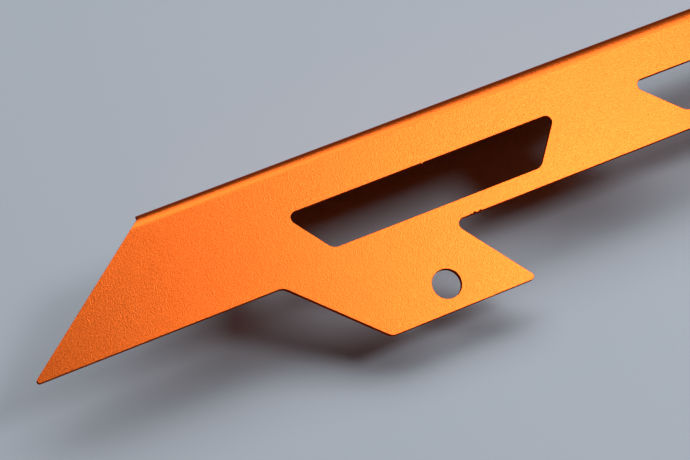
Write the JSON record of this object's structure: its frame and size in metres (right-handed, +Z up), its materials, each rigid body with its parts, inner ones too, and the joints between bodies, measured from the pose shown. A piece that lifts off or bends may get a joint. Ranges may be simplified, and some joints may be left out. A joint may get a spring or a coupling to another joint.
{
  "type": "motorcycle chain guard",
  "caption": "Folded aluminium chain guard: a stepped roof over the chain, a side with raked windows, a pointed tail and swept mounting tabs with clearance holes.",
  "frame": {"origin": "centre of the footprint on the ground that the guard lies on, at rest on the free edge of its roof and the lower edge of its front tab", "axes": "+X forward along the fold, from the pointed tail to the square front end; -Y towards the side and its tabs; +Z up from the ground. The side faces up and to -Y, tipped 33.4 degrees from the ground."},
  "size_m": [0.3988, 0.0758, 0.0347],
  "materials": {
    "orange_anodised_sheet": "bead-blasted and anodised orange, satin, with a fine grain"
  },
  "bodies": {
    "root": {"chain_guard": "orange_anodised_sheet"}
  },
  "joints": []
}
